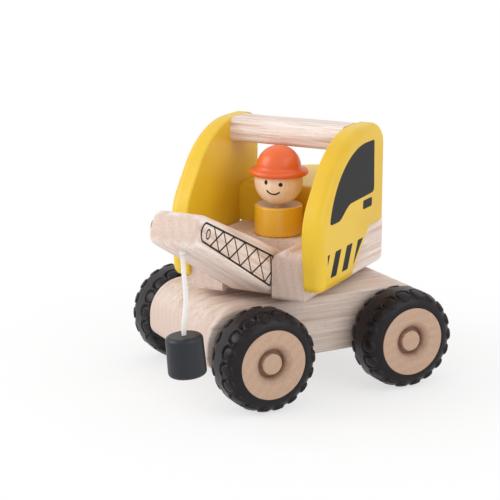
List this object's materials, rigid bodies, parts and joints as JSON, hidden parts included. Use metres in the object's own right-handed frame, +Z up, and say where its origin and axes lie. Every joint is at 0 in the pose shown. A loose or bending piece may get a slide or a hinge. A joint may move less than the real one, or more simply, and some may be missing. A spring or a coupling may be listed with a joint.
{
  "type": "wooden toy crane truck",
  "caption": "Wooden toy crane truck: a lugged-wheel chassis carries a turning cab with a peg driver, a lifting boom and a weight on a cord.",
  "frame": {"origin": "centre of the chassis block's underside, 24 mm above the ground", "axes": "+Z up, -Y towards the truck's front, +X towards its left side; the cab is stored turned 34.45 degrees to the left"},
  "size_m": [0.1756, 0.2186, 0.172],
  "materials": {
    "natural_wood": "clear matte lacquer over sanded rubberwood",
    "peg_wood": "clear matte lacquer over turned wood, end grain",
    "yellow_lacquer": "satin opaque yellow lacquer on wood",
    "orange_lacquer": "gloss opaque orange lacquer on wood",
    "slate_lacquer": "satin opaque slate grey lacquer on wood",
    "cord_white": "round braided cotton cord",
    "tyre_rubber": "matte moulded black rubber"
  },
  "bodies": {
    "chassis": {"chassis_block": "natural_wood", "turntable_disc": "natural_wood", "king_peg": "peg_wood", "wheel_peg_front_left": "peg_wood", "wheel_peg_front_right": "peg_wood", "wheel_peg_rear_left": "peg_wood", "wheel_peg_rear_right": "peg_wood"},
    "wheel_front_left": {"hub_front_left": "natural_wood", "tyre_front_left": "tyre_rubber"},
    "wheel_front_right": {"hub_front_right": "natural_wood", "tyre_front_right": "tyre_rubber"},
    "wheel_rear_left": {"hub_rear_left": "natural_wood", "tyre_rear_left": "tyre_rubber"},
    "wheel_rear_right": {"hub_rear_right": "natural_wood", "tyre_rear_right": "tyre_rubber"},
    "upper_works": {"deck_block": "natural_wood", "engine_block": "yellow_lacquer", "roof_bar": "natural_wood", "side_panel_left": "yellow_lacquer", "side_panel_right": "yellow_lacquer", "boom_pin": "peg_wood", "panel_dowels": "peg_wood", "roof_dowels": "peg_wood", "engine_dowels": "peg_wood", "driver_dowel": "peg_wood"},
    "boom_arm": {"boom": "natural_wood"},
    "cord_swivel": {"cord_knot": "cord_white"},
    "load": {"cord": "cord_white", "load_weight": "slate_lacquer"},
    "driver": {"driver_body": "yellow_lacquer", "driver_head": "natural_wood", "driver_helmet": "orange_lacquer", "neck_dowel": "peg_wood"}
  },
  "joints": [
    {"name": "wheel_spin_front_left", "type": "hinge", "parent": "chassis", "child": "wheel_front_left", "pos_m": [0.0624, -0.05175, 0.009], "axis": [1, 0, 0], "continuous": true},
    {"name": "wheel_spin_front_right", "type": "hinge", "parent": "chassis", "child": "wheel_front_right", "pos_m": [-0.0624, -0.05175, 0.009], "axis": [1, 0, 0], "continuous": true},
    {"name": "wheel_spin_rear_left", "type": "hinge", "parent": "chassis", "child": "wheel_rear_left", "pos_m": [0.0624, 0.05175, 0.009], "axis": [1, 0, 0], "continuous": true},
    {"name": "wheel_spin_rear_right", "type": "hinge", "parent": "chassis", "child": "wheel_rear_right", "pos_m": [-0.0624, 0.05175, 0.009], "axis": [1, 0, 0], "continuous": true},
    {"name": "cab_slew", "type": "hinge", "parent": "chassis", "child": "upper_works", "pos_m": [0, 0, 0.0435], "axis": [0, 0, 1], "continuous": true},
    {"name": "boom_lift", "type": "hinge", "parent": "upper_works", "child": "boom_arm", "pos_m": [0.02828, -0.04123, 0.0595], "axis": [-0.8246, -0.5657, 0], "range_deg": [-20, 25]},
    {"name": "load_level", "type": "hinge", "parent": "boom_arm", "child": "cord_swivel", "pos_m": [0.07974, -0.11623, 0.09138], "axis": [-0.8246, -0.5657, 0], "range_deg": [-25, 20]},
    {"name": "load_swing", "type": "hinge", "parent": "cord_swivel", "child": "load", "pos_m": [0.07974, -0.11623, 0.09138], "axis": [0.5657, -0.8246, 0], "range_deg": [-25, 25]},
    {"name": "driver_turn", "type": "hinge", "parent": "upper_works", "child": "driver", "pos_m": [0.00848, -0.01237, 0.0757], "axis": [0, 0, 1], "continuous": true}
  ],
  "couplings": [
    {"joint": "load_level", "follows": "boom_lift", "ratio": -1}
  ]
}
